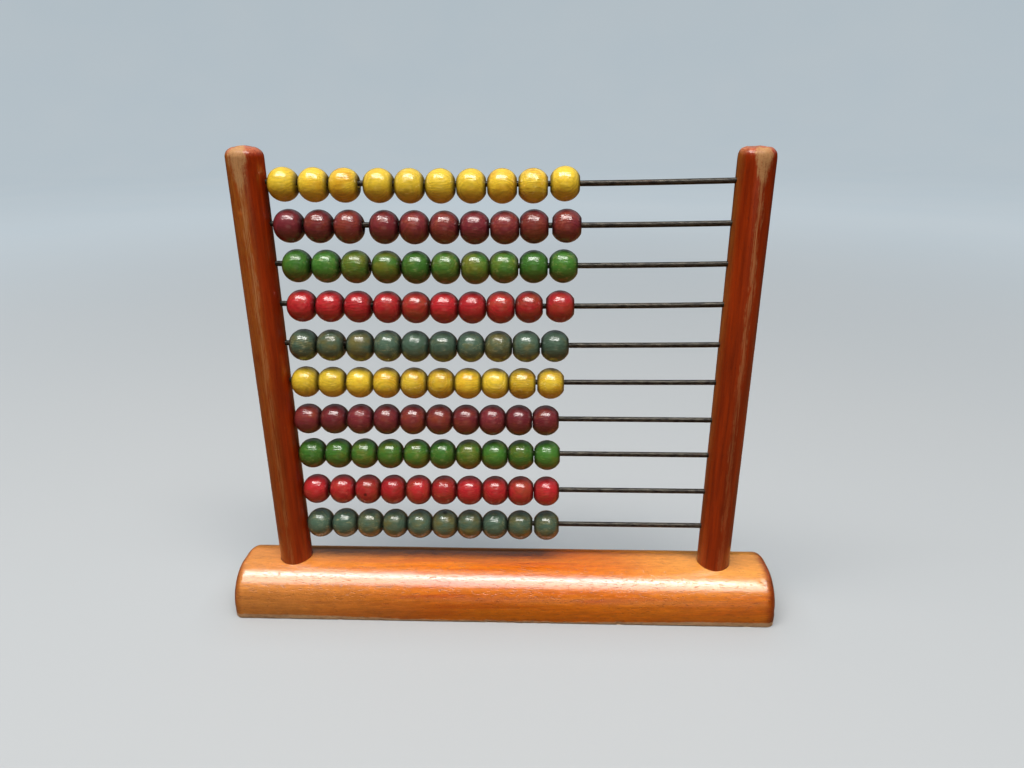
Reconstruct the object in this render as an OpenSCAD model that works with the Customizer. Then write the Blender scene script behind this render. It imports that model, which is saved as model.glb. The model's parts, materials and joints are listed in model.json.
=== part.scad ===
/* Counting-frame abacus: ten straight wires of ten wooden beads, strung between two round posts
   that stand in a loaf-shaped wooden base. +X runs along the wires, -Y is the front, +Z is up.
   The origin is the centre of the base's underside. Rows are numbered from the top down, and
   the beads of a row from the left. */

/* [Base] */
// Length of the base along the wires
base_l = 220; // [205:1:260]
// Depth of the base from front to back
base_w = 35; // [33:0.5:60]
// Height of the base at its crest
base_h = 19.5; // [18:0.5:24]
// Radius of the two long top edges, which gives the loaf shape
loaf_r = 15; // [8:0.5:16]
// Radius of the short top edges at both ends
end_r = 3.5; // [1:0.5:6]
// Radius of the four upright corners
corner_r = 3; // [1:0.5:5]
// Bevel along the foot of the base
foot_bevel = 0.5; // [0.3:0.1:2]

/* [Posts] */
// Distance between the centre lines of the posts
post_spacing = 174.6; // [165:0.2:185]
// Diameter of a post
post_d = 13; // [10:0.2:15]
// Height of the post tops above the table
post_top = 184; // [182:0.2:240]
// Radius of the rounded edge at the top of a post
post_top_r = 3.4; // [1:0.2:4]
// Height of the shallow dome inside that rounded edge
post_dome = 0.5; // [0.2:0.1:1]
// Depth of a post's socket in the base
socket_depth = 13; // [8:0.5:14]

/* [Wires] */
// Diameter of a wire
wire_d = 2; // [1.6:0.1:2.4]
// Even distance from one wire down to the next, before the small errors of the drilling
wire_pitch = 15; // [13.4:0.1:15.4]
// Even height of the lowest wire above the table
low_wire_z = 37.4; // [33:0.2:39]
// Depth of the blind wire holes in the posts
wire_hole_depth = 6; // [3:0.5:8]

/* [Beads] */
// Diameter of a bead
bead_d = 12; // [11:0.1:12.4]
// Length of a bead between its two flat ends
bead_l = 10.25; // [9:0.05:10.4]
// Diameter of the flat at each end of a bead
bead_face_d = 4.8; // [4.4:0.1:6]
// Diameter of the hole through a bead
bore_d = 3.8; // [3:0.1:4]

/* [Fits] */
// Radial clearance of the glued joints: post in socket, wire in post
glue_gap = 0.05; // [0.02:0.01:0.1]
// Running gap between neighbouring beads, and between an end bead and its post
bead_gap = 0.05; // [0.02:0.01:0.06]
// Gap between a wire and the top of the bead holes that hang on it
hang_gap = 0.2; // [0.05:0.05:0.25]

/* [Hidden] */
$fn = 96;
EPS = 0.01;
FINE = 64;

rows = 10;
beads_per_row = 10;
bead_pitch = bead_l + bead_gap;
bead_hang = (bore_d - wire_d) / 2 - hang_gap;
post_x = post_spacing / 2;
post_r = post_d / 2;
left_stop_x = -post_x + post_r;

// First bead of each group in a row. The beads of a group slide along their wire as one.
group_starts = [
    [1, 4, 9, 10],
    [1, 4, 9, 10],
    [1, 4, 8, 10],
    [1, 4, 7, 9, 10],
    [1, 3, 6, 8, 10],
    [1, 3, 5, 8, 10],
    [1, 2, 4, 7, 10],
    [1, 2, 3, 5, 8],
    [1, 2, 4, 7, 9],
    [1, 3, 5, 8, 10]
];

// Gap that stands open to the left of each group at rest, on top of bead_gap
rest_gaps = [
    [0.8, 1.7, 0.4, 0.6],
    [1.3, 2.3, 0.0, 1.1],
    [2.6, 0.9, 0.0, 0.3],
    [2.7, 0.5, 0.0, 0.0, 1.0],
    [1.7, 0.7, 0.1, 0.0, 0.3],
    [0.9, 0.2, 0.3, 0.1, 0.4],
    [0.2, 0.0, 0.0, 0.0, 0.0],
    [0.4, 0.1, 0.1, 0.3, 0.0],
    [0.4, 0.4, 0.0, 0.0, 0.0],
    [0.4, 0.1, 0.0, 0.0, 0.5]
];

// Looseness of each row: the gap between neighbouring beads of one group, on top of bead_gap
looseness = [0.4, 0.35, 0.35, 0.15, 0.1, 0.0, 0.0, 0.0, 0.0, 0.0];

// How far each wire hole is drilled above its even place, from the top row down
hole_errors = [-0.5, 0.2, 1.0, 1.2, 1.0, 1.1, 0.6, 0.7, -0.4, -1.2];

bead_colors = ["gold", "maroon", "forestgreen", "crimson", "darkslategray"];

// Height of a row's wire
function wire_z(row) = low_wire_z + (rows - row) * wire_pitch + hole_errors[row - 1];

// Sum of the first n values of a list
function sum_first(list, n) = n == 0 ? 0 : list[n - 1] + sum_first(list, n - 1);

// Last bead of a group: the one before the next group starts
function last_bead(row, group) =
    group == len(group_starts[row - 1]) ? beads_per_row : group_starts[row - 1][group] - 1;

// Centre of a bead along its wire at rest. The first bead of each group has a rest gap to its
// left, and every other bead has its row's looseness there.
function bead_x(row, bead, group) =
    left_stop_x + bead_gap + bead_l / 2 + (bead - 1) * bead_pitch
    + (bead - group) * looseness[row - 1] + sum_first(rest_gaps[row - 1], group);

// Cross-section of the base in the plane across the wires
module loaf_profile() {
    flank_z = base_h - loaf_r;
    crest_y = base_w / 2 - loaf_r;
    difference() {
        union() {
            translate([-base_w / 2, 0])
                square([base_w, flank_z]);
            translate([-crest_y, 0])
                square([2 * crest_y, base_h]);
            for (side = [-1, 1])
                translate([side * crest_y, flank_z])
                    circle(r = loaf_r);
        }
        for (side = [-1, 1])
            translate([side * base_w / 2, 0])
                rotate(45)
                    square(foot_bevel * sqrt(2), center = true);
        translate([-base_w, -2 * base_h])
            square([2 * base_w, 2 * base_h]);
    }
}

// Rectangle whose two top corners are rounded, centred on x with its foot at y = 0
module arched_rect(w, h, r) {
    translate([-w / 2, 0])
        square([w, h - r]);
    translate([-w / 2 + r, 0])
        square([w - 2 * r, h]);
    for (side = [-1, 1])
        translate([side * (w / 2 - r), h - r])
            circle(r = r);
}

// Rectangle with four rounded corners, centred
module rounded_rect(w, d, r) {
    square([w, d - 2 * r], center = true);
    square([w - 2 * r, d], center = true);
    for (x = [-1, 1], y = [-1, 1])
        translate([x * (w / 2 - r), y * (d / 2 - r)])
            circle(r = r);
}

module base_blank() {
    intersection() {
        rotate([90, 0, 90])
            linear_extrude(base_l, center = true)
                loaf_profile();
        rotate([90, 0, 0])
            linear_extrude(2 * base_w, center = true)
                arched_rect(base_l, base_h, end_r);
        linear_extrude(2 * base_h, center = true)
            rounded_rect(base_l, base_w, corner_r);
    }
}

module base() {
    color("chocolate")
        difference() {
            base_blank();
            for (side = [-1, 1])
                translate([side * post_x, 0, base_h - socket_depth])
                    cylinder(r = post_r + glue_gap, h = socket_depth + 1);
        }
}

// Half outline of a post, with a rounded top edge and a shallow dome
module post_outline() {
    foot = base_h - socket_depth;
    edge_z = post_top - post_dome - post_top_r;
    flat_r = post_r - post_top_r;
    steps = 12;
    polygon([
        [0, foot],
        [post_r, foot],
        for (i = [0:steps])
            [flat_r + post_top_r * cos(90 * i / steps), edge_z + post_top_r * sin(90 * i / steps)],
        [0, post_top]
    ]);
}

// A post with its row of blind wire holes; inward is +1 where they open towards +X
module post(x, inward) {
    color("saddlebrown")
        translate([x, 0, 0])
            difference() {
                rotate_extrude()
                    post_outline();
                for (row = [1:rows])
                    translate([inward * (post_r - wire_hole_depth), 0, wire_z(row)])
                        rotate([0, inward * 90, 0])
                            cylinder(d = wire_d + 2 * glue_gap, h = wire_hole_depth + 1, $fn = FINE);
            }
}

module left_post() {
    post(-post_x, 1);
}

module right_post() {
    post(post_x, -1);
}

// A straight wire whose ends stop just short of the bottoms of its two holes
module wire(row) {
    end_gap = 0.5;
    length = post_spacing - post_d + 2 * (wire_hole_depth - end_gap);
    color("dimgray")
        translate([-length / 2, 0, wire_z(row)])
            rotate([0, 90, 0])
                cylinder(d = wire_d, h = length, $fn = FINE);
}

// A turned bead with two flat ends and a hole through it, at the origin and along X. Its side is
// one arc, centred off the axis so that it meets both flats at their rims.
module bead() {
    half_l = bead_l / 2;
    bead_r = bead_d / 2;
    face_r = bead_face_d / 2;
    arc_offset = (bead_r * bead_r - face_r * face_r - half_l * half_l) / (2 * (bead_r - face_r));
    rotate([0, 90, 0])
        rotate_extrude()
            intersection() {
                translate([arc_offset, 0])
                    circle(r = bead_r - arc_offset);
                translate([bore_d / 2, -half_l])
                    square([bead_r, bead_l]);
            }
}

// The beads of one row that slide together, each a solid of its own
module bead_group(row, group) {
    color(bead_colors[(row - 1) % len(bead_colors)])
        for (n = [group_starts[row - 1][group - 1]:last_bead(row, group)])
            translate([bead_x(row, n, group), 0, wire_z(row) - bead_hang])
                bead();
}

base();
left_post();
right_post();

wire(1);  // wire_01
wire(2);  // wire_02
wire(3);  // wire_03
wire(4);  // wire_04
wire(5);  // wire_05
wire(6);  // wire_06
wire(7);  // wire_07
wire(8);  // wire_08
wire(9);  // wire_09
wire(10);  // wire_10

bead_group(1, 1);  // row_01_beads_1_to_3
bead_group(1, 2);  // row_01_beads_4_to_8
bead_group(1, 3);  // row_01_bead_9
bead_group(1, 4);  // row_01_bead_10

bead_group(2, 1);  // row_02_beads_1_to_3
bead_group(2, 2);  // row_02_beads_4_to_8
bead_group(2, 3);  // row_02_bead_9
bead_group(2, 4);  // row_02_bead_10

bead_group(3, 1);  // row_03_beads_1_to_3
bead_group(3, 2);  // row_03_beads_4_to_7
bead_group(3, 3);  // row_03_beads_8_to_9
bead_group(3, 4);  // row_03_bead_10

bead_group(4, 1);  // row_04_beads_1_to_3
bead_group(4, 2);  // row_04_beads_4_to_6
bead_group(4, 3);  // row_04_beads_7_to_8
bead_group(4, 4);  // row_04_bead_9
bead_group(4, 5);  // row_04_bead_10

bead_group(5, 1);  // row_05_beads_1_to_2
bead_group(5, 2);  // row_05_beads_3_to_5
bead_group(5, 3);  // row_05_beads_6_to_7
bead_group(5, 4);  // row_05_beads_8_to_9
bead_group(5, 5);  // row_05_bead_10

bead_group(6, 1);  // row_06_beads_1_to_2
bead_group(6, 2);  // row_06_beads_3_to_4
bead_group(6, 3);  // row_06_beads_5_to_7
bead_group(6, 4);  // row_06_beads_8_to_9
bead_group(6, 5);  // row_06_bead_10

bead_group(7, 1);  // row_07_bead_1
bead_group(7, 2);  // row_07_beads_2_to_3
bead_group(7, 3);  // row_07_beads_4_to_6
bead_group(7, 4);  // row_07_beads_7_to_9
bead_group(7, 5);  // row_07_bead_10

bead_group(8, 1);  // row_08_bead_1
bead_group(8, 2);  // row_08_bead_2
bead_group(8, 3);  // row_08_beads_3_to_4
bead_group(8, 4);  // row_08_beads_5_to_7
bead_group(8, 5);  // row_08_beads_8_to_10

bead_group(9, 1);  // row_09_bead_1
bead_group(9, 2);  // row_09_beads_2_to_3
bead_group(9, 3);  // row_09_beads_4_to_6
bead_group(9, 4);  // row_09_beads_7_to_8
bead_group(9, 5);  // row_09_beads_9_to_10

bead_group(10, 1);  // row_10_beads_1_to_2
bead_group(10, 2);  // row_10_beads_3_to_4
bead_group(10, 3);  // row_10_beads_5_to_7
bead_group(10, 4);  // row_10_beads_8_to_9
bead_group(10, 5);  // row_10_bead_10
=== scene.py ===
import json
import math
import random
import re

import bpy
from mathutils import Matrix, Vector, noise

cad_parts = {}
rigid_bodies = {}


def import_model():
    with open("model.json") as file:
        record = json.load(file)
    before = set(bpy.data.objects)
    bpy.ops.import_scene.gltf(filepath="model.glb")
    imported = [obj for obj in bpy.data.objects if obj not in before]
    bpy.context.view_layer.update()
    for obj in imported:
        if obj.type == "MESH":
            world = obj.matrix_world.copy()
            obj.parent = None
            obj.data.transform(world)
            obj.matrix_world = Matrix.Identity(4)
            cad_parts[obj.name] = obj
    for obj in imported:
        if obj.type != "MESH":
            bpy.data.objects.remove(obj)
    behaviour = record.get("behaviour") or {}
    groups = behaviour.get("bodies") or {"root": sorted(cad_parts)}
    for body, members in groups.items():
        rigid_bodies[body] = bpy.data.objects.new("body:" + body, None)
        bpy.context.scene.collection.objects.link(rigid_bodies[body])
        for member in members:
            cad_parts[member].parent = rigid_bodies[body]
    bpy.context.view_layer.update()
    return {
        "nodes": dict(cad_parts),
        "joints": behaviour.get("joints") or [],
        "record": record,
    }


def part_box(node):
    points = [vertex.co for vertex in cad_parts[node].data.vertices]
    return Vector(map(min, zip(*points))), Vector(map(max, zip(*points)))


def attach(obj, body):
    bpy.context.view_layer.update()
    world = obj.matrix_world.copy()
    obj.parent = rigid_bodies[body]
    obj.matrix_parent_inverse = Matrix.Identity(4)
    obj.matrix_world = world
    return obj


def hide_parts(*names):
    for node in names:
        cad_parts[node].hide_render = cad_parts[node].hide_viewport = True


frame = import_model()

MM = 0.001
FIXED_BODY = "frame"
SMOOTH_ANGLE = math.radians(38)

# ---------------------------------------------------------------- sizes taken from the CAD model
BEAD_NODE = re.compile(r"row_(\d+)_beads?_(\d+)(?:_to_(\d+))?$")


def box_mm(node):
    low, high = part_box(node)
    return low / MM, high / MM


def single_bead_node():
    """A node that holds just one bead, so that its box gives the size of a bead."""
    return min(node for node in frame["nodes"] if BEAD_NODE.match(node) and "beads" not in node)


base_low, base_high = box_mm("base")
BEAD_LOW, BEAD_HIGH = box_mm(single_bead_node())
BEAD_L = BEAD_HIGH.x - BEAD_LOW.x
BEAD_D = BEAD_HIGH.z - BEAD_LOW.z
WIRE_LOW, WIRE_HIGH = box_mm("wire_01")
WIRE_D = WIRE_HIGH.z - WIRE_LOW.z

# Shape details of the CAD model, in millimetres
LOAF_R = 15.0  # rounding of the base's long top edges
END_R = 3.5  # rounding of the base's ends
FOOT_BEVEL = 0.5
POST_TOP_R = 3.4
POST_DOME = 0.5
BORE_R = 1.9
BEAD_FACE_R = 2.4  # smallest flat face at a bead's ends
JOINT_LINE = 0.1  # gap seen around a post or a wire in its hole


# ---------------------------------------------------------------- shader graphs
def linear(red, green, blue):
    """Linear colour of an 8-bit sRGB colour."""
    channels = []
    for value in (red, green, blue):
        share = value / 255
        channels.append(share / 12.92 if share <= 0.04045 else ((share + 0.055) / 1.055) ** 2.4)
    return (*channels, 1.0)


class Graph:
    """A material's node graph. Each method adds one node and returns its output socket."""

    def __init__(self, name):
        self.material = bpy.data.materials.new(name)
        self.material.use_nodes = True
        self.tree = self.material.node_tree
        self.tree.nodes.clear()

    def node(self, kind, inputs=None, **settings):
        node = self.tree.nodes.new(kind)
        for key, value in settings.items():
            setattr(node, key, value)
        for key, value in (inputs or {}).items():
            self.feed(node.inputs[key], value)
        return node

    def feed(self, socket, value):
        if isinstance(value, bpy.types.NodeSocket):
            self.tree.links.new(value, socket)
        else:
            socket.default_value = value

    def attribute(self, name, kind="GEOMETRY"):
        return self.node("ShaderNodeAttribute", attribute_name=name, attribute_type=kind)

    def math(self, operation, first, second=0.0, third=0.0, clamp=False):
        inputs = {0: first, 1: second, 2: third}
        node = self.node("ShaderNodeMath", inputs, operation=operation, use_clamp=clamp)
        return node.outputs[0]

    def stretch(self, vector, factors):
        inputs = {0: vector, 1: factors}
        return self.node("ShaderNodeVectorMath", inputs, operation="MULTIPLY").outputs[0]

    def parts(self, vector):
        return self.node("ShaderNodeSeparateXYZ", {0: vector}).outputs

    def noise(self, vector, scale=1.0, detail=2.0, roughness=0.5, distortion=0.0):
        inputs = {
            "Vector": vector,
            "Scale": scale,
            "Detail": detail,
            "Roughness": roughness,
            "Distortion": distortion,
        }
        return self.node("ShaderNodeTexNoise", inputs, noise_dimensions="3D").outputs[0]

    def length(self, vector):
        return self.node("ShaderNodeVectorMath", {0: vector}, operation="LENGTH").outputs["Value"]

    def distance(self, first, second):
        inputs = {0: first, 1: second}
        return self.node("ShaderNodeVectorMath", inputs, operation="DISTANCE").outputs["Value"]

    def step(self, value, low, high, out_low=0.0, out_high=1.0):
        """Smooth step of value from low to high."""
        inputs = {"Value": value, "From Min": low, "From Max": high, "To Min": out_low, "To Max": out_high}
        node = self.node("ShaderNodeMapRange", inputs, interpolation_type="SMOOTHSTEP")
        return node.outputs[0]

    def mix(self, factor, first, second, blend="MIX"):
        node = self.node("ShaderNodeMix", data_type="RGBA", blend_type=blend, clamp_factor=True)
        self.feed(node.inputs[0], factor)
        self.feed(node.inputs[6], first)
        self.feed(node.inputs[7], second)
        return node.outputs[2]

    def shade(self, color, amount):
        """Colour multiplied by a number."""
        return self.node("ShaderNodeVectorMath", {0: color, "Scale": amount}, operation="SCALE").outputs[0]

    def bump(self, height, depth_mm, normal=None):
        inputs = {"Height": height, "Distance": depth_mm * MM, "Strength": 1.0}
        if normal is not None:
            inputs["Normal"] = normal
        return self.node("ShaderNodeBump", inputs).outputs[0]

    def surface(self, **inputs):
        named = {key.replace("_", " "): value for key, value in inputs.items()}
        shader = self.node("ShaderNodeBsdfPrincipled", named)
        out = self.node("ShaderNodeOutputMaterial")
        self.tree.links.new(shader.outputs[0], out.inputs[0])
        return self.material

    def object_mm(self):
        point = self.node("ShaderNodeTexCoord").outputs["Object"]
        return self.node("ShaderNodeVectorMath", {0: point, "Scale": 1 / MM}, operation="SCALE").outputs[0]


# ---------------------------------------------------------------- materials
# Lengths in the materials are millimetres, and stretch factors are turns of noise per millimetre.
# The colours are 8-bit sRGB.
BASE_ORANGE = (224, 120, 14)
BASE_DEEP = (198, 84, 5)
BASE_TAN = (213, 142, 70)
BASE_PALE = (240, 174, 84)
BASE_END = (138, 50, 12)
BASE_BARE = (214, 176, 136)
POST_BROWN = (172, 56, 7)
POST_DEEP = (124, 34, 3)
# Lighter colour of a post's left side: painted light mixed with wear.
POST_LIT_AND_WORN_SIDE = (176, 104, 40)
POST_PINK = (216, 130, 92)
POST_BARE = (188, 140, 92)
WIRE_DARK = (30, 28, 26)
WIRE_LIGHT = (80, 76, 68)
WIRE_RUST = (84, 54, 34)
# Each bead slot: stain, second stain in its patches, worn colour, share of wear, varnish roughness
BEAD_COLOURS = {
    "yellow_bead": ((232, 198, 56), (216, 164, 36), (248, 228, 136), 0.6, 0.14),
    "maroon_bead": ((118, 42, 50), (136, 60, 42), (180, 104, 88), 0.4, 0.06),
    "green_bead": ((66, 118, 44), (110, 116, 38), (160, 164, 96), 0.5, 0.06),
    "red_bead": ((182, 38, 44), (160, 64, 42), (216, 110, 92), 0.35, 0.06),
    "slate_bead": ((76, 101, 84), (112, 106, 58), (164, 160, 114), 0.6, 0.06),
}
RING_SPACING = 0.95  # between the growth rings of a bead
BEAD_RIDGES = 0.16  # depth of the brush marks and shrunken grain under a bead's varnish
POST_ARC = 6.3  # distance round a post for each radian


def bead_material(name, stain, second, worn, mottle, dullness):
    """Stained, turned and varnished wood. The grain runs along the bore. Painted shade darkens the bead's
    ends.

    Each bead object brings its own tone, tint, bare (more or less worn) and knot.
    """
    g = Graph(name)
    local = g.attribute("local_mm").outputs["Vector"]
    grain = g.attribute("grain_mm").outputs["Vector"]
    tone = g.attribute("tone", "OBJECT").outputs["Fac"]
    tint = g.attribute("tint", "OBJECT").outputs["Fac"]
    bare = g.attribute("bare", "OBJECT").outputs["Fac"]
    knot_spot = g.attribute("knot_mm", "OBJECT").outputs["Vector"]
    knot_size = g.attribute("knot_size", "OBJECT").outputs["Fac"]

    waver = g.noise(g.stretch(grain, (0.14, 0.3, 0.3)), 1.0, 2.0)
    across = g.stretch(grain, (0.0, 1.0, 1.0))
    from_pith = g.math("MULTIPLY_ADD", waver, 3.0, g.length(across))
    ring = g.math("SINE", g.math("MULTIPLY", from_pith, math.tau / RING_SPACING))
    ring = g.math("MULTIPLY_ADD", ring, 0.5, 0.5)
    ring = g.math("MULTIPLY", ring, g.step(g.noise(grain, 0.18, 1.0), 0.3, 0.6))
    fibre = g.noise(g.stretch(grain, (0.35, 3.0, 3.0)), 1.0, 3.0, 0.6)
    pores = g.step(g.noise(g.stretch(grain, (0.9, 6.0, 6.0)), 1.0, 1.0), 0.68, 0.75)
    patches = g.noise(g.stretch(grain, (0.14, 0.24, 0.24)), 1.0, 3.0, 0.6)

    lean = g.math("MULTIPLY_ADD", tint, 0.35, patches)
    colour = g.mix(g.step(lean, 0.42, 0.82), stain, second)
    thin = g.math("MULTIPLY_ADD", fibre, 0.35, g.noise(g.stretch(grain, (0.3, 0.8, 0.8)), 1.0, 4.0, 0.65))
    rub = g.step(g.math("ADD", thin, bare), 0.72, 0.98)
    colour = g.mix(g.math("MULTIPLY", rub, mottle), colour, worn)
    depth = g.math("MULTIPLY_ADD", ring, -0.2, 1.08)
    depth = g.math("MULTIPLY", depth, g.math("MULTIPLY_ADD", fibre, 0.5, 0.75))
    depth = g.math("MULTIPLY", depth, g.math("MULTIPLY_ADD", pores, -0.35, 1.0))
    depth = g.math("MULTIPLY", depth, tone)
    # Painted shade: the colour darkens towards the bead's ends and end faces, where it meets its
    # neighbours.
    reach = g.math("ABSOLUTE", g.parts(local)[0])
    rim = g.step(reach, BEAD_L / 2 - 1.5, BEAD_L / 2 - 0.15, 1.0, 0.25)
    depth = g.math("MULTIPLY", depth, rim)
    from_knot = g.math("DIVIDE", g.distance(local, knot_spot), knot_size)
    from_knot = g.math("MULTIPLY_ADD", fibre, 0.8, from_knot)
    knot = g.step(from_knot, 0.7, 1.5, 0.25, 1.0)
    depth = g.math("MULTIPLY", depth, knot)
    colour = g.shade(colour, depth)

    relief = g.math("MULTIPLY_ADD", ring, 0.55, g.math("MULTIPLY", fibre, 0.9))
    relief = g.math("MULTIPLY_ADD", pores, -0.4, relief)
    ridges = g.noise(g.stretch(grain, (0.28, 1.1, 1.1)), 1.0, 2.0)
    dimples = g.bump(ridges, BEAD_RIDGES, g.bump(relief, 0.06))
    varnish = g.bump(ridges, BEAD_RIDGES, g.bump(relief, 0.012))
    gloss = g.math("MULTIPLY_ADD", g.noise(local, 0.8, 3.0), 0.14, 0.28)
    return g.surface(
        Base_Color=colour,
        Roughness=gloss,
        Specular_IOR_Level=0.25,
        Coat_Weight=1.0,
        Coat_IOR=1.53,
        Coat_Roughness=dullness,
        Normal=dimples,
        Coat_Normal=varnish,
    )


def base_material():
    """Orange-brown varnish over fine straight grain: tan to the left, pale on the right's top,
    dark at the ends and rubbed bare along the foot."""
    g = Graph("base_varnish")
    point = g.object_mm()
    x, y, z = g.parts(point)
    tilted = g.node("ShaderNodeVectorRotate", {"Vector": point, "Angle": 0.03}, rotation_type="Y_AXIS")
    along = tilted.outputs[0]
    streaks = g.noise(g.stretch(along, (0.022, 0.5, 0.5)), 1.0, 4.0, 0.6, 0.3)
    fibre = g.noise(g.stretch(along, (0.16, 2.0, 2.0)), 1.0, 4.0, 0.65)
    pores = g.step(g.noise(g.stretch(along, (0.5, 2.4, 2.4)), 1.0, 2.0), 0.58, 0.7)
    flecks = g.step(g.noise(g.stretch(along, (0.6, 1.8, 1.8)), 2.0, 2.0), 0.62, 0.72)
    blotch = g.noise(g.stretch(point, (0.03, 0.06, 0.06)), 1.0, 3.0)
    mottle = g.noise(g.stretch(along, (0.22, 0.7, 0.7)), 1.0, 5.0, 0.75)
    ragged = g.noise(g.stretch(point, (0.25, 0.6, 0.6)), 1.0, 4.0, 0.7)

    colour = g.mix(g.step(streaks, 0.3, 0.75), linear(*BASE_ORANGE), linear(*BASE_DEEP))
    left = g.step(g.math("MULTIPLY_ADD", blotch, 60.0, x), -85.0, 25.0, 0.8, 0.0)
    colour = g.mix(left, colour, linear(*BASE_TAN))
    right = g.math("MULTIPLY", g.step(x, 30.0, 85.0), g.step(z, 11.0, 18.0, 0.08, 0.6))
    colour = g.mix(right, colour, linear(*BASE_PALE))
    colour = g.mix(g.math("MULTIPLY", flecks, 0.3), colour, linear(*BASE_TAN))
    to_end = g.math("SUBTRACT", base_high.x, g.math("ABSOLUTE", x))
    to_end = g.math("SUBTRACT", to_end, g.step(x, -10.0, 10.0, 0.2, 1.8))
    end = g.step(g.math("MULTIPLY_ADD", ragged, 2.4, to_end), 1.0, 5.0, 0.95, 0.0)
    colour = g.mix(end, colour, linear(*BASE_END))
    reach = g.step(g.math("ABSOLUTE", x), 30.0, 85.0, 0.8, 1.9)
    foot = g.math("SUBTRACT", z, reach)
    foot = g.step(g.math("MULTIPLY_ADD", ragged, 1.6, foot), 0.7, 1.5, 1.0, 0.0)
    scuff = g.step(g.noise(g.stretch(point, (0.1, 0.7, 0.7)), 1.0, 5.0, 0.75), 0.64, 0.76)
    wear = g.math("MAXIMUM", foot, g.math("MULTIPLY", scuff, 0.3))
    colour = g.mix(wear, colour, linear(*BASE_BARE))
    depth = g.math("MULTIPLY_ADD", fibre, 0.7, 0.65)
    depth = g.math("MULTIPLY", depth, g.math("MULTIPLY_ADD", mottle, 0.9, 0.55))
    depth = g.math("MULTIPLY", depth, g.math("MULTIPLY_ADD", pores, -0.3, 1.0))
    depth = g.math("MULTIPLY", depth, g.math("MULTIPLY_ADD", blotch, 0.23, 0.65))
    colour = g.shade(colour, depth)

    relief = g.math("MULTIPLY_ADD", pores, -1.0, g.math("MULTIPLY", fibre, 0.8))
    rolling = g.noise(point, 0.4, 2.0)
    bump = g.bump(rolling, 0.06, g.bump(relief, 0.06))
    varnish = g.bump(rolling, 0.05, g.bump(relief, 0.03))
    gloss = g.math("MULTIPLY_ADD", g.noise(point, 0.2, 3.0), 0.12, 0.27)
    gloss = g.math("MULTIPLY_ADD", wear, 0.3, gloss)
    coat = g.math("MULTIPLY_ADD", wear, -0.8, 1.0)
    coat = g.math("MULTIPLY_ADD", pores, -0.25, coat, clamp=True)
    return g.surface(
        Base_Color=colour,
        Roughness=gloss,
        Specular_IOR_Level=0.1,
        Coat_Weight=coat,
        Coat_IOR=1.75,
        Coat_Roughness=0.17,
        Normal=bump,
        Coat_Normal=varnish,
    )


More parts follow.
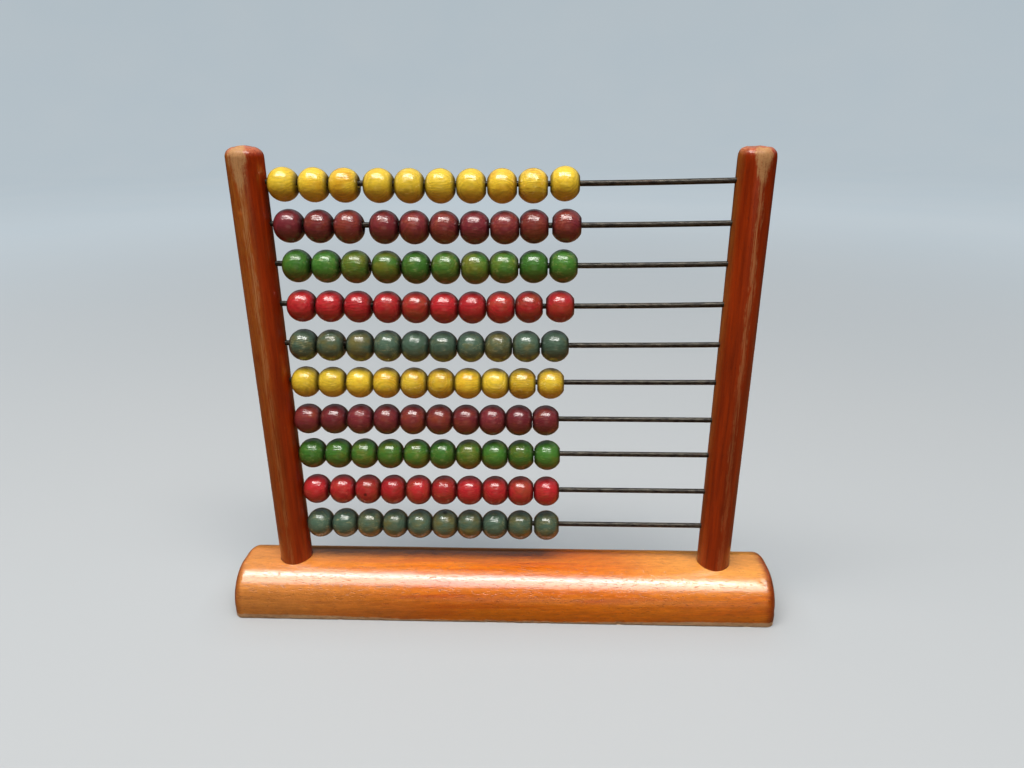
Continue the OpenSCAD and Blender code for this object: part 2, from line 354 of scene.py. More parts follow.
def post_material():
    """Red-brown varnish, worn to bare wood in a patch and a streak below each post's top, and lighter on
    its left side from painted light mixed with wear.

    Angles are measured round the post from its front, and z from its top down.
    """
    g = Graph("post_varnish")
    local = g.attribute("local_mm").outputs["Vector"]
    x, y, z = g.parts(local)
    patch_angle = g.attribute("patch_angle", "OBJECT").outputs["Fac"]
    patch_length = g.attribute("patch_length", "OBJECT").outputs["Fac"]
    patch_width = g.attribute("patch_width", "OBJECT").outputs["Fac"]
    top_wear = g.attribute("top_wear", "OBJECT").outputs["Fac"]
    lit_and_worn_side_angle = g.attribute("lit_and_worn_side_angle", "OBJECT").outputs["Fac"]
    fibre = g.noise(g.stretch(local, (2.6, 2.6, 0.09)), 1.0, 4.0, 0.65)
    rings = g.noise(g.stretch(local, (0.7, 0.7, 0.03)), 1.0, 3.0, 0.6, 0.3)
    pores = g.step(g.noise(g.stretch(local, (6.0, 6.0, 0.6)), 1.0, 1.0), 0.63, 0.72)
    blotch = g.noise(g.stretch(local, (0.2, 0.2, 0.06)), 1.0, 3.0)
    ragged = g.noise(g.stretch(local, (0.9, 0.9, 0.3)), 1.0, 4.0, 0.7)
    drift = g.noise(g.stretch(local, (0.0, 0.0, 0.05)), 1.0, 2.0)

    colour = g.mix(g.step(rings, 0.2, 0.8), linear(*POST_BROWN), linear(*POST_DEEP))
    # Painted light mixed with wear: the post's left side takes a lighter colour, broken up by the grain.
    turn = g.math("ARCTAN2", x, g.math("MULTIPLY", y, -1.0))
    side = g.step(g.math("SUBTRACT", turn, lit_and_worn_side_angle), -0.3, 0.35, 1.0, 0.0)
    side = g.math("MULTIPLY", side, g.step(z, -170.0, -5.0, 0.35, 1.0))
    side = g.math("MULTIPLY", side, g.step(g.math("ADD", fibre, ragged), 0.7, 1.2, 0.3, 0.9))
    colour = g.mix(side, colour, linear(*POST_LIT_AND_WORN_SIDE))
    off = g.math("SUBTRACT", turn, patch_angle)
    off = g.math("ADD", off, g.math("MULTIPLY_ADD", drift, 0.5, -0.25))
    off = g.math("MULTIPLY", g.math("ABSOLUTE", off), POST_ARC)
    below = g.math("DIVIDE", g.math("MULTIPLY", z, -1.0), patch_length)
    room = g.math("MULTIPLY", patch_width, g.math("SUBTRACT", 1.0, g.math("MULTIPLY", below, below)))
    room = g.math("SUBTRACT", room, off)
    room = g.math("ADD", room, g.math("MULTIPLY_ADD", ragged, 5.0, -2.5))
    room = g.math("MULTIPLY_ADD", fibre, 2.0, g.math("SUBTRACT", room, 1.0))
    speckle = g.noise(local, 1.5, 3.0, 0.7)
    patch = g.math("MULTIPLY", g.step(room, -0.9, 1.2), g.step(speckle, 0.33, 0.5, 0.55, 1.0))
    streak_off = g.math("ADD", off, g.math("MULTIPLY_ADD", ragged, 3.0, -1.5))
    streak = g.step(streak_off, 0.3, 1.5, 1.0, 0.0)
    streak = g.math("MULTIPLY", streak, g.step(fibre, 0.38, 0.58))
    streak = g.math("MULTIPLY", streak, g.step(z, -130.0, -15.0, 0.35, 0.95))
    crown = g.math("MULTIPLY_ADD", ragged, 5.0, z)
    crown = g.math("MULTIPLY", g.step(crown, -0.8, 1.6), top_wear)
    crown = g.math("MULTIPLY", crown, g.step(speckle, 0.38, 0.6, 0.35, 1.0))
    nicks = g.step(g.noise(g.stretch(local, (0.9, 0.9, 0.35)), 1.0, 5.0, 0.8), 0.68, 0.76)
    colour = g.mix(crown, colour, linear(*POST_PINK))
    colour = g.mix(g.math("MULTIPLY", nicks, 0.3), colour, linear(*POST_BARE))
    colour = g.mix(g.math("MULTIPLY", streak, 0.7), colour, linear(*POST_BARE))
    colour = g.mix(patch, colour, linear(*POST_BARE))
    depth = g.math("MULTIPLY_ADD", fibre, 0.6, 0.7)
    depth = g.math("MULTIPLY", depth, g.math("MULTIPLY_ADD", pores, -0.35, 1.0))
    depth = g.math("MULTIPLY", depth, g.math("MULTIPLY_ADD", blotch, 0.3, 0.85))
    colour = g.shade(colour, depth)

    wear = g.math("MAXIMUM", patch, g.math("MULTIPLY", streak, 0.5))
    relief = g.math("MULTIPLY_ADD", pores, -0.7, g.math("MULTIPLY", fibre, 0.8))
    bump = g.bump(relief, 0.04)
    bump = g.bump(g.noise(local, 0.6, 3.0), 0.07, bump)
    gloss = g.math("MULTIPLY_ADD", wear, 0.3, g.math("MULTIPLY_ADD", blotch, 0.15, 0.28))
    coat = g.math("MULTIPLY_ADD", wear, -0.5, 0.6)
    return g.surface(
        Base_Color=colour,
        Roughness=gloss,
        Specular_IOR_Level=0.25,
        Coat_Weight=coat,
        Coat_Roughness=0.16,
        Normal=bump,
        Coat_Normal=bump,
    )


def wire_material():
    """Drawn steel gone dark and mottled, with a little rust."""
    g = Graph("dark_steel")
    point = g.object_mm()
    mottle = g.noise(g.stretch(point, (0.35, 1.2, 1.2)), 1.0, 4.0, 0.65)
    drawn = g.noise(g.stretch(point, (0.15, 8.0, 8.0)), 1.0, 2.0)
    rust = g.step(g.noise(g.stretch(point, (0.1, 0.5, 0.5)), 1.0, 5.0, 0.75), 0.56, 0.72)
    colour = g.mix(g.step(mottle, 0.35, 0.65), linear(*WIRE_DARK), linear(*WIRE_LIGHT))
    colour = g.mix(g.math("MULTIPLY", rust, 0.6), colour, linear(*WIRE_RUST))
    bump = g.bump(g.math("MULTIPLY_ADD", mottle, 0.6, g.math("MULTIPLY", drawn, 0.4)), 0.04)
    gloss = g.math("MULTIPLY_ADD", mottle, 0.2, g.math("MULTIPLY_ADD", rust, 0.25, 0.32))
    metal = g.math("MULTIPLY_ADD", rust, -0.4, 0.6)
    return g.surface(Base_Color=colour, Roughness=gloss, Metallic=metal, Normal=bump)


# ---------------------------------------------------------------- mesh helpers
def make_mesh(name, points, faces):
    """A new object at the origin, from points in millimetres in the CAD frame."""
    mesh = bpy.data.meshes.new(name)
    mesh.from_pydata([Vector(p) * MM for p in points], [], faces)
    mesh.update()
    thing = bpy.data.objects.new(name, mesh)
    bpy.context.scene.collection.objects.link(thing)
    return thing


def finish_piece(thing, material, body, node=None):
    """Shading, material and place in the frame of a finished piece."""
    mesh = thing.data
    mesh.polygons.foreach_set("use_smooth", [True] * len(mesh.polygons))
    mesh.set_sharp_from_angle(angle=SMOOTH_ANGLE)
    mesh.materials.clear()
    mesh.materials.append(material)
    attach(thing, body)
    if node:
        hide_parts(node)
    return thing


def ring_faces(rings, count, closed=False):
    """Quads between successive rings of count points; closed joins the last ring to the first."""
    faces = []
    for ring in range(rings if closed else rings - 1):
        here = ring * count
        there = (ring + 1) % rings * count
        for step in range(count):
            after = (step + 1) % count
            faces.append((here + step, here + after, there + after, there + step))
    return faces


def set_vectors(mesh, name, values):
    attribute = mesh.attributes.new(name, "FLOAT_VECTOR", "POINT")
    attribute.data.foreach_set("vector", [v for value in values for v in value])


def cylinder_cutter(name, centre, axis, radius, length, sides=48):
    """A plain rod that is only used to cut a hole, and is removed afterwards."""
    turn = Vector((0, 0, 1)).rotation_difference(Vector(axis)).to_matrix()
    points = []
    for end in (-0.5, 0.5):
        for step in range(sides):
            angle = math.tau * step / sides
            spot = Vector((radius * math.cos(angle), radius * math.sin(angle), end * length))
            points.append(Vector(centre) + turn @ spot)
    faces = ring_faces(2, sides)
    faces.append(tuple(reversed(range(sides))))
    faces.append(tuple(range(sides, 2 * sides)))
    return make_mesh(name, points, faces)


def cut(thing, cutters):
    """Cuts the cutters out of thing, applies the result and removes the cutters."""
    for cutter in cutters:
        modifier = thing.modifiers.new("cut", "BOOLEAN")
        modifier.operation = "DIFFERENCE"
        modifier.solver = "EXACT"
        modifier.object = cutter
    graph = bpy.context.evaluated_depsgraph_get()
    result = bpy.data.meshes.new_from_object(thing.evaluated_get(graph))
    thing.modifiers.clear()
    thing.data = result
    for cutter in cutters:
        bpy.data.objects.remove(cutter)


def roughness_at(point, scale, seed=0.0):
    """Smooth noise between 0 and 1."""
    return 0.5 + 0.5 * noise.fractal(Vector(point) * scale + Vector((seed, 0, 0)), 0.6, 2.0, 3) / 1.2


# ---------------------------------------------------------------- base
CAP_SHARES = (0.97, 0.9, 0.78, 0.62, 0.44, 0.24)  # rings across each flat end
END_STEPS = 9
BASE_RINGS = 260
SOCKET_CUT = 40.2
SOCKET_SIDES = 64


def spread(low, high, count):
    """count evenly spaced values from low to just before high."""
    return [low + (high - low) * index / count for index in range(count)]


def loaf_ring(inset):
    """Outline of the base across its length, drawn in by inset, as (y, z) points."""
    half = (base_high.y - base_low.y) / 2 - inset
    crest = base_high.z - inset
    radius = LOAF_R - inset
    edge = half - radius
    flank = crest - radius
    points = [(y, 0.0) for y in spread(-half + FOOT_BEVEL, half - FOOT_BEVEL, 40)]
    for share in spread(0.0, 1.0, 3):
        points.append((half - FOOT_BEVEL * (1 - share), FOOT_BEVEL * share))
    points += [(half, z) for z in spread(FOOT_BEVEL, flank, 6)]
    for angle in spread(0.0, math.pi / 2, 30):
        points.append((edge + radius * math.cos(angle), flank + radius * math.sin(angle)))
    points += [(y, crest) for y in spread(edge, -edge, 6)]
    for angle in spread(math.pi / 2, math.pi, 30):
        points.append((-edge + radius * math.cos(angle), flank + radius * math.sin(angle)))
    points += [(-half, z) for z in spread(flank, FOOT_BEVEL, 6)]
    for share in spread(0.0, 1.0, 3):
        points.append((-half + FOOT_BEVEL * share, FOOT_BEVEL * (1 - share)))
    return points


def end_stations():
    """(distance from the end face, inset) through the rounding at one end of the base."""
    angles = [math.pi / 2 * step / END_STEPS for step in range(END_STEPS + 1)]
    return [(END_R * (1 - math.cos(a)), END_R * (1 - math.sin(a))) for a in angles]


def base_points():
    """Rings of points from the middle of the left end to the middle of the right end."""
    left = [(base_low.x + t, inset) for t, inset in end_stations()]
    right = [(base_high.x - t, inset) for t, inset in reversed(end_stations())]
    middle = [(x, 0.0) for x in spread(base_low.x + END_R, base_high.x - END_R, BASE_RINGS)[1:]]
    rings = [[Vector((x, y, z)) for y, z in loaf_ring(inset)] for x, inset in left + middle + right]
    centre_z = (base_high.z - END_R) / 2
    caps = []
    for rim in (rings[0], rings[-1]):
        centre = Vector((rim[0].x, 0.0, centre_z))
        caps.append([[centre.lerp(point, share) for point in rim] for share in CAP_SHARES])
    return list(reversed(caps[0])) + rings + caps[1]


def closed_tube(rings, start, end):
    """Points and faces of a skin over rings, closed by a fan at each end."""
    count = len(rings[0])
    points = [point for ring in rings for point in ring]
    faces = ring_faces(len(rings), count)
    last = len(points) - count
    for step in range(count):
        after = (step + 1) % count
        faces.append((len(points), after, step))
        faces.append((len(points) + 1, last + step, last + after))
    points += [start, end]
    return points, faces


def weather(thing, depth_at):
    """Moves every vertex inwards along its normal, by depth_at(point) millimetres."""
    vertices = thing.data.vertices
    normals = [vertex.normal.copy() for vertex in vertices]
    for vertex, normal in zip(vertices, normals):
        vertex.co -= normal * depth_at(vertex.co / MM) * MM
    thing.data.update()


def dent_depth(point, dents):
    depth = 0.0
    for centre, radius, deep in dents:
        share = (point - centre).length / radius
        if share < 1:
            depth = max(depth, deep * (1 - share * share) ** 2)
    return depth


def base_dents(rng):
    """Knocks along the edges of the base and a few on its faces."""
    dents = []
    for _ in range(26):
        side = rng.choice((-1, 1))
        x = side * rng.uniform(104.0, 109.5)
        y = rng.uniform(-15.0, 15.0)
        spot = Vector((x, y, rng.uniform(4.0, 18.0)))
        dents.append((spot, rng.uniform(0.8, 2.2), rng.uniform(0.1, 0.35)))
    for _ in range(46):
        x = rng.uniform(-108.0, 108.0)
        y = rng.choice((-1, 1)) * (base_high.y - 0.2)
        spot = Vector((x, y, rng.uniform(0.3, 1.6)))
        dents.append((spot, rng.uniform(0.8, 2.4), rng.uniform(0.1, 0.4)))
    for _ in range(14):
        angle = rng.uniform(0.2, 1.4)
        side = rng.choice((-1, 1))
        y = side * (2.5 + LOAF_R * math.cos(angle))
        z = base_high.z - LOAF_R + LOAF_R * math.sin(angle)
        spot = Vector((rng.uniform(-104.0, 104.0), y, z))
        dents.append((spot, rng.uniform(1.0, 2.0), rng.uniform(0.05, 0.15)))
    return dents


def build_base(material):
    rng = random.Random(11)
    rings = base_points()
    centre_z = (base_high.z - END_R) / 2
    start = Vector((base_low.x, 0.0, centre_z))
    end = Vector((base_high.x, 0.0, centre_z))
    thing = make_mesh("base_block", *closed_tube(rings, start, end))
    dents = base_dents(rng)

    def depth(point):
        """Slow undulation, fine unevenness, a worn foot and the knocks; the underside stays flat."""
        if point.z < 0.05:
            return 0.0
        rolling = 0.12 * roughness_at((point.x * 0.4, point.y, point.z), 0.06)
        fine = 0.05 * roughness_at((point.x * 0.3, point.y, point.z), 0.35, 7.0)
        foot = max(0.0, 1 - point.z / 2.2) * 0.3 * roughness_at(point, 0.4, 3.0)
        return rolling + fine + foot + dent_depth(point, dents)

    weather(thing, depth)
    cutters = []
    for node in ("left_post", "right_post"):
        low, high = box_mm(node)
        middle = (low + high) / 2
        radius = (high.x - low.x) / 2 + JOINT_LINE
        centre = (middle.x, middle.y, low.z + 20.0)
        cutters.append(cylinder_cutter("cut_" + node, centre, (0, 0, 1), radius, SOCKET_CUT, SOCKET_SIDES))
    cut(thing, cutters)
    return finish_piece(thing, material, FIXED_BODY, "base")


# ---------------------------------------------------------------- posts
POST_SIDES = 96
POST_RING_STEP = 0.9
WIRE_HOLE_DEPTH = 6.1
WIRE_HOLE_SIDES = 32
# The bare patch: its angle from the front, its reach down the post and its half width; the wear of the
# crown; and the angle up to which the post's left side is lighter, from painted light mixed with wear.
POST_LOOK = {
    "left_post": {
        "patch_angle": -0.03,
        "patch_length": 16.0,
        "patch_width": 3.3,
        "top_wear": 0.8,
        "lit_and_worn_side_angle": 0.2,
    },
    "right_post": {
        "patch_angle": 0.16,
        "patch_length": 13.0,
        "patch_width": 3.4,
        "top_wear": 0.95,
        "lit_and_worn_side_angle": -1.1,
    },
}
POST_TOP_LOSS = {"left_post": 0.05, "right_post": 1.5}  # wood worn off the rim of the crown


def post_outline(low, high):
    """(radius, height) points of a post from the rim of its foot to the rim of its dome."""
    radius = (high.x - low.x) / 2
    shoulder = high.z - POST_DOME - POST_TOP_R
    points = [(radius * share, low.z) for share in (0.4, 0.8)]
    points += [(radius - 0.5, low.z), (radius - 0.15, low.z + 0.15), (radius, low.z + 0.5)]
    count = round((shoulder - low.z - 0.5) / POST_RING_STEP)
    points += [(radius, z) for z in spread(low.z + 0.5, shoulder, count)[1:]]
    crown = radius - POST_TOP_R
    for angle in spread(0.0, math.pi / 2, 12):
        points.append((crown + POST_TOP_R * math.cos(angle), shoulder + POST_TOP_R * math.sin(angle)))
    for share in (1.0, 0.8, 0.6, 0.4, 0.2):
        points.append((crown * share, high.z - POST_DOME * share * share))
    return points


def build_post(node, material, seed):
    rng = random.Random(seed)
    low, high = box_mm(node)
    middle = (low + high) / 2
    rings = []
    for radius, z in post_outline(low, high):
        ring = []
        for step in range(POST_SIDES):
            angle = math.tau * step / POST_SIDES
            spoke = Vector((radius * math.cos(angle), radius * math.sin(angle)))
            ring.append(Vector((middle.x + spoke.x, middle.y + spoke.y, z)))
        rings.append(ring)
    start = Vector((middle.x, middle.y, low.z))
    end = Vector((middle.x, middle.y, high.z))
    thing = make_mesh(node + "_turned", *closed_tube(rings, start, end))
    radius = (high.x - low.x) / 2
    dents = []
    for _ in range(22):
        angle = rng.uniform(0.0, math.tau)
        spot = Vector((middle.x + radius * math.cos(angle), middle.y + radius * math.sin(angle), 0.0))
        spot.z = rng.uniform(base_high.z + 4.0, high.z - 2.0)
        dents.append((spot, rng.uniform(0.7, 1.8), rng.uniform(0.06, 0.22)))
    for _ in range(14):
        angle = rng.uniform(0.0, math.tau)
        spot = Vector((middle.x + 5.0 * math.cos(angle), middle.y + 5.0 * math.sin(angle), high.z - 1.0))
        dents.append((spot, rng.uniform(1.2, 2.6), rng.uniform(0.03, 0.12)))

    def depth(point):
        """Slow undulation, wear of the crown over its top 5 mm, and the knocks."""
        rolling = 0.1 * roughness_at((point.x, point.y, point.z * 0.25), 0.12, seed)
        crown = max(0.0, 1 - (high.z - point.z) / 5.0)
        top = crown * POST_TOP_LOSS[node] * roughness_at(point, 0.12, seed + 5)
        return rolling + top + dent_depth(point, dents)

    weather(thing, depth)
    inward = -1 if middle.x > 0 else 1
    cutters = []
    for wire in WIRE_NODES:
        wire_low, wire_high = box_mm(wire)
        centre = (wire_low + wire_high) / 2
        length = WIRE_HOLE_DEPTH + 2.0
        centre.x = middle.x + inward * (radius - WIRE_HOLE_DEPTH + length / 2)
        bore = (wire_high.z - wire_low.z) / 2 + JOINT_LINE
        cutters.append(cylinder_cutter("cut_" + wire, centre, (1, 0, 0), bore, length, WIRE_HOLE_SIDES))
    cut(thing, cutters)
    shift = Vector((middle.x, middle.y, high.z))
    set_vectors(thing.data, "local_mm", [vertex.co / MM - shift for vertex in thing.data.vertices])
    for key, value in POST_LOOK[node].items():
        thing[key] = value
    return finish_piece(thing, material, FIXED_BODY, node)


# ---------------------------------------------------------------- wires
WIRE_NODES = sorted(n for n in frame["nodes"] if n.startswith("wire_"))
WIRE_SIDES = 24
WIRE_RINGS = 110
WIRE_TIP = 0.3
WIRE_SWAY = 0.04
WIRE_BOWS = (1.0, 0.85, 0.9, 0.9, 0.65, 0.4, 0.0, 0.0, 0.0, 0.0)  # sag at the middle of each row
HANG_MARGIN = 0.12
TRAVEL_STEPS = 20


def bow_at(row, x):
    """How far a row's wire hangs below a straight line at x: the upper wires are bowed a little."""
    share = (x - (WIRE_LOW.x + WIRE_HIGH.x) / 2) / ((WIRE_HIGH.x - WIRE_LOW.x) / 2)
    return WIRE_BOWS[row - 1] * max(0.0, 1 - share * share)


def travel_of(body):
    """How far a body can move along its wire, as (least, most) millimetres from rest."""
    least = most = 0.0
    parents = {joint["child"]: joint for joint in frame["joints"]}
    while body in parents:
        joint = parents[body]
        least += joint["range_m"][0] / MM
        most += joint["range_m"][1] / MM
        body = joint["parent"]
    return least, most


def bead_drop(row, x, hang, body):
    """How far a bead hangs below its wire's straight line, so that the bowed wire stays in its bore."""
    least, most = travel_of(body)
    shares = [step / TRAVEL_STEPS for step in range(TRAVEL_STEPS + 1)]
    bows = [bow_at(row, x + least + (most - least) * share) for share in shares]
    room = BORE_R - WIRE_D / 2 - HANG_MARGIN
    return min(max(bow_at(row, x) + hang, max(bows) - room), min(bows) + room)


def build_wire(node, material, seed):
    row = int(node.split("_")[1])
    low, high = box_mm(node)
    middle = (low + high) / 2
    radius = (high.z - low.z) / 2
    stops = [(low.x, radius - WIRE_TIP), (low.x + 0.1, radius - 0.1), (low.x + WIRE_TIP, radius)]
    stops += [(x, radius) for x in spread(low.x + WIRE_TIP, high.x - WIRE_TIP, WIRE_RINGS)[1:]]
    stops += [(high.x - WIRE_TIP, radius), (high.x - 0.1, radius - 0.1), (high.x, radius - WIRE_TIP)]
    rings = []
    for x, size in stops:
        sway_y = noise.noise(Vector((x * 0.02, seed, 0.0)))
        sway_z = noise.noise(Vector((x * 0.02, seed, 9.0)))
        sway = Vector((0.0, sway_y, sway_z)) * WIRE_SWAY
        ring = []
        for step in range(WIRE_SIDES):
            angle = math.tau * step / WIRE_SIDES
            wobble = 0.985 + 0.015 * noise.noise(Vector((x * 0.25, angle, seed)))
            spoke = Vector((0.0, math.cos(angle), math.sin(angle))) * size * wobble
            ring.append(Vector((x, middle.y, middle.z - bow_at(row, x))) + sway + spoke)
        rings.append(ring)
    ends = [Vector((x, middle.y, middle.z)) for x in (low.x, high.x)]
    thing = make_mesh(node + "_drawn", *closed_tube(rings, *ends))
    return finish_piece(thing, material, FIXED_BODY, node)


# ---------------------------------------------------------------- beads
BEAD_SIDES = 64
FACE_STEPS = 24
RIM_STEPS = 5
BEAD_TILT = math.radians(0.5)
BEAD_UNEVEN = 0.006  # share of its radius by which a bead is out of round
# Dark knots and pinholes of a (row, bead): distance along the bead, degrees up from its front, radius
KNOTS = {
    (1, 5): (2.0, 58.0, 0.3),
    (1, 9): (-3.9, 1.0, 0.4),
    (9, 3): (0.0, 6.0, 0.9),
    (10, 6): (0.3, 80.0, 1.2),
}
NO_KNOT = (0.0, 0.0, 0.01)


def bead_outline(radius, half, face, rim, bore):
    """Closed outline of a bead as (x, radius) points: over the outside, back through the bore."""
    offset = (radius * radius - face * face - half * half) / (2 * (radius - face))
    arc = radius - offset

    def outside(x):
        return offset + math.sqrt(max(0.0, arc * arc - x * x))

    def normal(x):
        return Vector((x, outside(x) - offset)).normalized()

    # The arc ends where its rim rounding just reaches the bead's end, found by halving.
    near, far = 0.5 * half, half
    for _ in range(40):
        edge = (near + far) / 2
        if edge + rim * (1 - normal(edge).x) < half:
            near = edge
        else:
            far = edge
    turn = math.asin(edge / arc)
    right = [(x, outside(x)) for x in (arc * math.sin(turn * k / FACE_STEPS) for k in range(FACE_STEPS))]
    lean = normal(edge)
    hub = Vector((edge, outside(edge))) - lean * rim
    first = math.atan2(lean.y, lean.x)
    for step in range(RIM_STEPS + 1):
        angle = first * (1 - step / RIM_STEPS)
        right.append((hub.x + rim * math.cos(angle), hub.y + rim * math.sin(angle)))
    mouth = bore + 0.12
    right += [(half, hub.y + (mouth - hub.y) * share) for share in (0.5, 1.0)]
    right += [(half - 0.05, bore + 0.04), (half - 0.15, bore), (half * 0.5, bore)]
    left = [(-x, size) for x, size in reversed(right[1:])]
    return left + right


def bead_look(rng):
    """Small differences between one bead and the next."""
    return {
        "radius": BEAD_D / 2 - rng.uniform(0.0, 0.12),
        "half": BEAD_L / 2 - rng.uniform(0.02, 0.1),
        "face": BEAD_FACE_R + rng.uniform(0.0, 0.5),
        "rim": rng.uniform(0.15, 0.3),
        "spin": rng.uniform(0.0, math.tau),
        "tone": rng.uniform(0.88, 1.12),
        "tint": rng.uniform(-0.4, 0.4),
        "bare": rng.uniform(-0.08, 0.06),
    }


def build_bead(name, centre, look, material, body, rng):
    outline = bead_outline(look["radius"], look["half"], look["face"], look["rim"], BORE_R)
    count = len(outline)
    shift = Vector([rng.uniform(0.0, 400.0) for _ in range(3)])
    oval = rng.uniform(-BEAD_UNEVEN, BEAD_UNEVEN)
    local, grain, points = [], [], []
    pith = Vector((0.0, rng.uniform(5.0, 16.0), 0.0))
    tilt = Matrix.Rotation(rng.uniform(-BEAD_TILT, BEAD_TILT), 3, "Y")
    tilt @= Matrix.Rotation(rng.uniform(-BEAD_TILT, BEAD_TILT), 3, "Z")
    spin = Matrix.Rotation(look["spin"], 3, "X")
    for x, size in outline:
        for step in range(BEAD_SIDES):
            angle = math.tau * step / BEAD_SIDES
            spot = Vector((x, size * math.cos(angle), size * math.sin(angle)))
            if size > BORE_R + 0.3:
                wobble = noise.noise((spot + shift) * 0.22) + 0.3 * noise.noise((spot + shift) * 0.7)
                shrink = BEAD_UNEVEN * (1 + wobble) + oval * math.cos(2 * angle)
                spot -= Vector((0.0, spot.y, spot.z)) * shrink
            local.append(spot)
            grain.append(spot + pith + Vector((shift.x, 0.0, 0.0)))
            points.append(Vector(centre) + tilt @ (spin @ spot))
    thing = make_mesh(name, points, ring_faces(count, BEAD_SIDES, closed=True))
    set_vectors(thing.data, "local_mm", local)
    set_vectors(thing.data, "grain_mm", grain)
    for key in ("tone", "tint", "bare"):
        thing[key] = look[key]
    along, rise, size = look["knot"]
    up = math.radians(rise)
    spot = Vector((along, -look["radius"] * math.cos(up), look["radius"] * math.sin(up)))
    thing["knot_mm"] = list(spin.inverted() @ spot)
    thing["knot_size"] = size
    return finish_piece(thing, material, body)


def build_beads(materials):
    slots = {part["node"]: part["material_slot"] for part in frame["record"]["subparts"]}
    rng = random.Random(2024)
    for node in sorted(frame["nodes"]):
        found = BEAD_NODE.match(node)
        if not found:
            continue
        row, first = int(found.group(1)), int(found.group(2))
        last = int(found.group(3) or first)
        low, high = box_mm(node)
        middle = (low + high) / 2
        wire_low, wire_high = box_mm(f"wire_{row:02d}")
        wire_z = (wire_low.z + wire_high.z) / 2
        start, end = low.x + BEAD_L / 2, high.x - BEAD_L / 2
        for number in range(first, last + 1):
            share = (number - first) / max(1, last - first)
            x = start + (end - start) * share
            centre = (x, middle.y, wire_z - bead_drop(row, x, wire_z - middle.z, node))
            name = f"bead_{row:02d}_{number:02d}"
            look = bead_look(rng)
            look["knot"] = KNOTS.get((row, number), NO_KNOT)
            bead = build_bead(name, centre, look, materials[slots[node]], node, rng)
            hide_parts(node)


# ---------------------------------------------------------------- the object
bead_materials = {}
for slot_name, (stain, second, worn, mottle, dullness) in BEAD_COLOURS.items():
    bead_materials[slot_name] = bead_material(
        slot_name + "_stain", linear(*stain), linear(*second), linear(*worn), mottle, dullness
    )

base_block = build_base(base_material())
post_varnish = post_material()
build_post("left_post", post_varnish, 3)
build_post("right_post", post_varnish, 4)
steel = wire_material()
for index, wire_node in enumerate(WIRE_NODES):
    build_wire(wire_node, steel, 1.7 * index)
build_beads(bead_materials)


# ---------------------------------------------------------------- stage, light and camera
# Lengths of the floor are millimetres, and those of the lights and the camera are metres.
FLOOR_R = 2600.0
WALL_R = 1000.0
WALL_STEPS = 16
FLOOR_SEGMENTS = 96
FLOOR_GREY = (165, 165, 165)
FLOOR_PALE = (178, 192, 201)
FLOOR_PALER = (184, 195, 202)
FLOOR_BOUNCE = (118, 86, 52)
FLOOR_GLOW_NEAR = 0.38
FLOOR_GLOW_FAR = 0.9
GLOW_START = 100.0
GLOW_END = 1500.0
CONTACT_REACH = 0.02
WORLD_FRONT = 0.06
WORLD_BACK = 0.3
WORLD_COLOUR = (0.80, 0.88, 0.95, 1.0)
LIGHT_TARGET = (0.0, 0.0, 0.09)
OVERHEAD = (-0.06, -0.30, 0.95)
ABOVE_FRONT = (-0.06, -0.61, 0.79)
LOW_FRONT = (0.1, -1.0, 0.1)
# Each light: direction from the target, distance, width, height, power, colour
LIGHTS = {
    "key": (OVERHEAD, 0.95, 1.15, 0.42, 9.8, (1.0, 0.97, 0.93)),
    "key_core": (OVERHEAD, 0.94, 1.1, 0.1, 4.4, (1.0, 0.98, 0.95)),
    "front_fill": (LOW_FRONT, 1.2, 0.7, 0.35, 0.5, (1.0, 0.80, 0.6)),
    "base_sheen": (ABOVE_FRONT, 0.95, 1.15, 0.27, 5.6, (1.0, 0.98, 0.95)),
}
CAMERA_SPOT = (0.0136, -0.2529, 0.1924)
CAMERA_YAW = math.radians(-2.10)
CAMERA_PITCH = math.radians(20.60)
CAMERA_ROLL = math.radians(0.357)
CAMERA_LENS = 24.96
CAMERA_SENSOR = 36.0


def floor_material():
    """Pale grey-blue to the camera, and a dim warm bounce card, like a table top, to the object."""
    g = Graph("pale_floor")
    point = g.object_mm()
    seen = g.node("ShaderNodeLightPath").outputs["Is Camera Ray"]
    patch = g.noise(point, 0.004, 2.0)
    pale = g.mix(patch, linear(*FLOOR_PALE), linear(*FLOOR_PALER))
    colour = g.mix(seen, linear(*FLOOR_BOUNCE), linear(*FLOOR_GREY))
    glow = g.step(g.length(point), GLOW_START, GLOW_END, FLOOR_GLOW_NEAR, FLOOR_GLOW_FAR)
    contact = g.node("ShaderNodeAmbientOcclusion", {"Distance": CONTACT_REACH}, samples=4).outputs["AO"]
    glow = g.math("MULTIPLY", glow, contact)
    return g.surface(
        Base_Color=colour,
        Roughness=0.85,
        Specular_IOR_Level=0.2,
        Emission_Color=pale,
        Emission_Strength=g.math("MULTIPLY", seen, glow),
    )


def build_floor():
    """A round floor that sweeps up at its rim, so that no horizon line shows."""
    outline = [(FLOOR_R * share, 0.0) for share in (0.04, 0.12, 0.25, 0.45, 0.7, 1.0)]
    for step in range(1, WALL_STEPS + 1):
        angle = math.pi / 2 * step / WALL_STEPS
        outline.append((FLOOR_R + WALL_R * math.sin(angle), WALL_R * (1 - math.cos(angle))))
    points = [Vector((0.0, 0.0, 0.0))]
    for radius, z in outline:
        for step in range(FLOOR_SEGMENTS):
            angle = math.tau * step / FLOOR_SEGMENTS
            points.append(Vector((radius * math.cos(angle), radius * math.sin(angle), z)))
    faces = [(0, 1 + step, 1 + (step + 1) % FLOOR_SEGMENTS) for step in range(FLOOR_SEGMENTS)]
    for quad in ring_faces(len(outline), FLOOR_SEGMENTS):
        faces.append(tuple(corner + 1 for corner in reversed(quad)))
    floor = make_mesh("studio_floor", points, faces)
    floor.data.polygons.foreach_set("use_smooth", [True] * len(floor.data.polygons))
    floor.data.materials.append(floor_material())


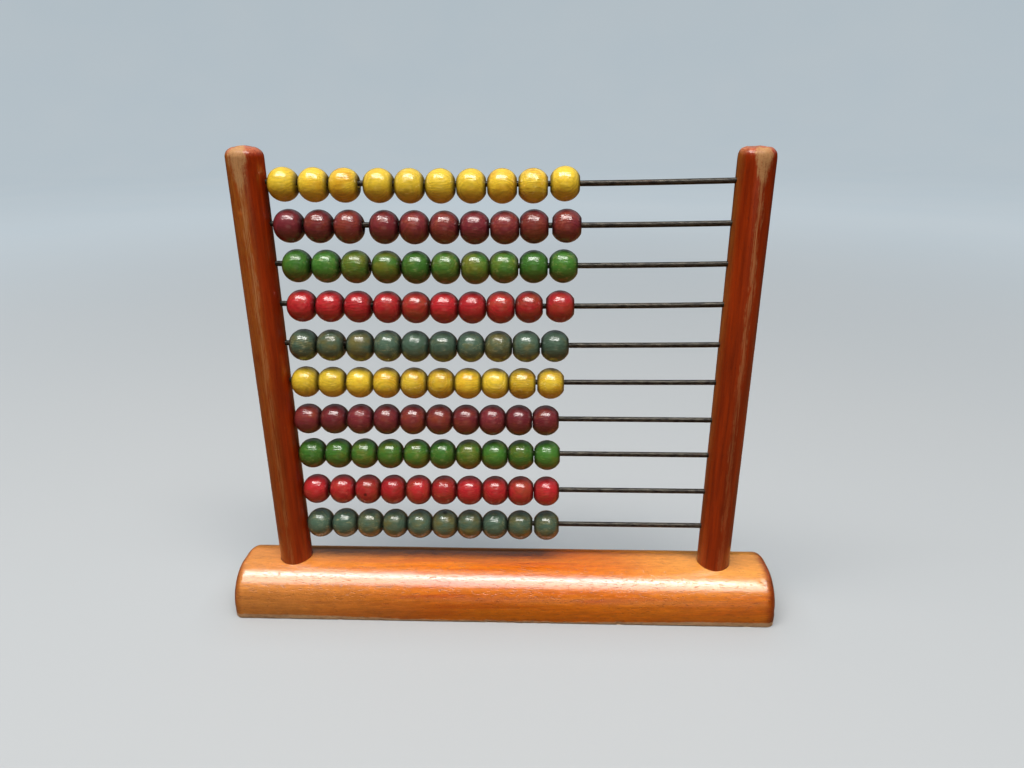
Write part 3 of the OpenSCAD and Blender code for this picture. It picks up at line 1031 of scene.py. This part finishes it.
def area_light(name, direction, distance, width, height, power, colour):
    """A soft rectangular light at a distance in a direction from the target, turned towards it."""
    data = bpy.data.lights.new(name, "AREA")
    data.shape = "RECTANGLE"
    data.size = width
    data.size_y = height
    data.energy = power
    data.color = colour
    light = bpy.data.objects.new(name, data)
    toward = Vector(direction).normalized()
    light.location = Vector(LIGHT_TARGET) + toward * distance
    side = Vector((0.0, 0.0, 1.0)).cross(toward).normalized()
    up = toward.cross(side)
    light.rotation_mode = "QUATERNION"
    light.rotation_quaternion = Matrix((side, up, toward)).transposed().to_quaternion()
    bpy.context.scene.collection.objects.link(light)
    return light


def build_world():
    """Soft cool light, stronger from behind than from the front. The camera sees a plain backdrop."""
    world = bpy.data.worlds.new("soft_world")
    world.use_nodes = True
    tree = world.node_tree
    background = tree.nodes["Background"]
    direction = tree.nodes.new("ShaderNodeTexCoord").outputs["Generated"]
    split = tree.nodes.new("ShaderNodeSeparateXYZ")
    tree.links.new(direction, split.inputs[0])
    ramp = tree.nodes.new("ShaderNodeMapRange")
    ramp.interpolation_type = "SMOOTHSTEP"
    tree.links.new(split.outputs["Y"], ramp.inputs["Value"])
    ramp.inputs["From Min"].default_value = -0.5
    ramp.inputs["From Max"].default_value = 0.6
    ramp.inputs["To Min"].default_value = WORLD_FRONT
    ramp.inputs["To Max"].default_value = WORLD_BACK
    tree.links.new(ramp.outputs[0], background.inputs["Strength"])
    background.inputs["Color"].default_value = WORLD_COLOUR
    backdrop = tree.nodes.new("ShaderNodeBackground")
    backdrop.inputs["Color"].default_value = linear(*FLOOR_PALE)
    chosen = tree.nodes.new("ShaderNodeMixShader")
    tree.links.new(tree.nodes.new("ShaderNodeLightPath").outputs["Is Camera Ray"], chosen.inputs[0])
    tree.links.new(background.outputs[0], chosen.inputs[1])
    tree.links.new(backdrop.outputs[0], chosen.inputs[2])
    tree.links.new(chosen.outputs[0], tree.nodes["World Output"].inputs["Surface"])
    bpy.context.scene.world = world


def build_light(base):
    """The studio lights. One of them shines on the base alone, to widen the sheen along it."""
    build_world()
    lights = {name: area_light(name, *values) for name, values in LIGHTS.items()}
    sheen = lights["base_sheen"]
    sheen.visible_diffuse = False
    lit = bpy.data.collections.new("sheen_receivers")
    lit.objects.link(base)
    sheen.light_linking.receiver_collection = lit


def build_camera():
    """The camera of the photograph: close in front of the frame, and looking down at it."""
    data = bpy.data.cameras.new("camera")
    data.sensor_width = CAMERA_SENSOR
    data.lens = CAMERA_LENS
    data.clip_start = 0.01
    data.clip_end = 20.0
    camera = bpy.data.objects.new("camera", data)
    level = Vector((math.sin(CAMERA_YAW), math.cos(CAMERA_YAW), 0.0))
    forward = level * math.cos(CAMERA_PITCH) - Vector((0.0, 0.0, math.sin(CAMERA_PITCH)))
    right = Vector((math.cos(CAMERA_YAW), -math.sin(CAMERA_YAW), 0.0))
    down = forward.cross(right)
    right_rolled = math.cos(CAMERA_ROLL) * right + math.sin(CAMERA_ROLL) * down
    down_rolled = -math.sin(CAMERA_ROLL) * right + math.cos(CAMERA_ROLL) * down
    camera.location = CAMERA_SPOT
    camera.rotation_mode = "QUATERNION"
    axes = Matrix((right_rolled, -down_rolled, -forward)).transposed()
    camera.rotation_quaternion = axes.to_quaternion()
    bpy.context.scene.collection.objects.link(camera)
    bpy.context.scene.camera = camera


build_floor()
build_light(base_block)
build_camera()
bpy.context.scene.view_settings.view_transform = "Standard"
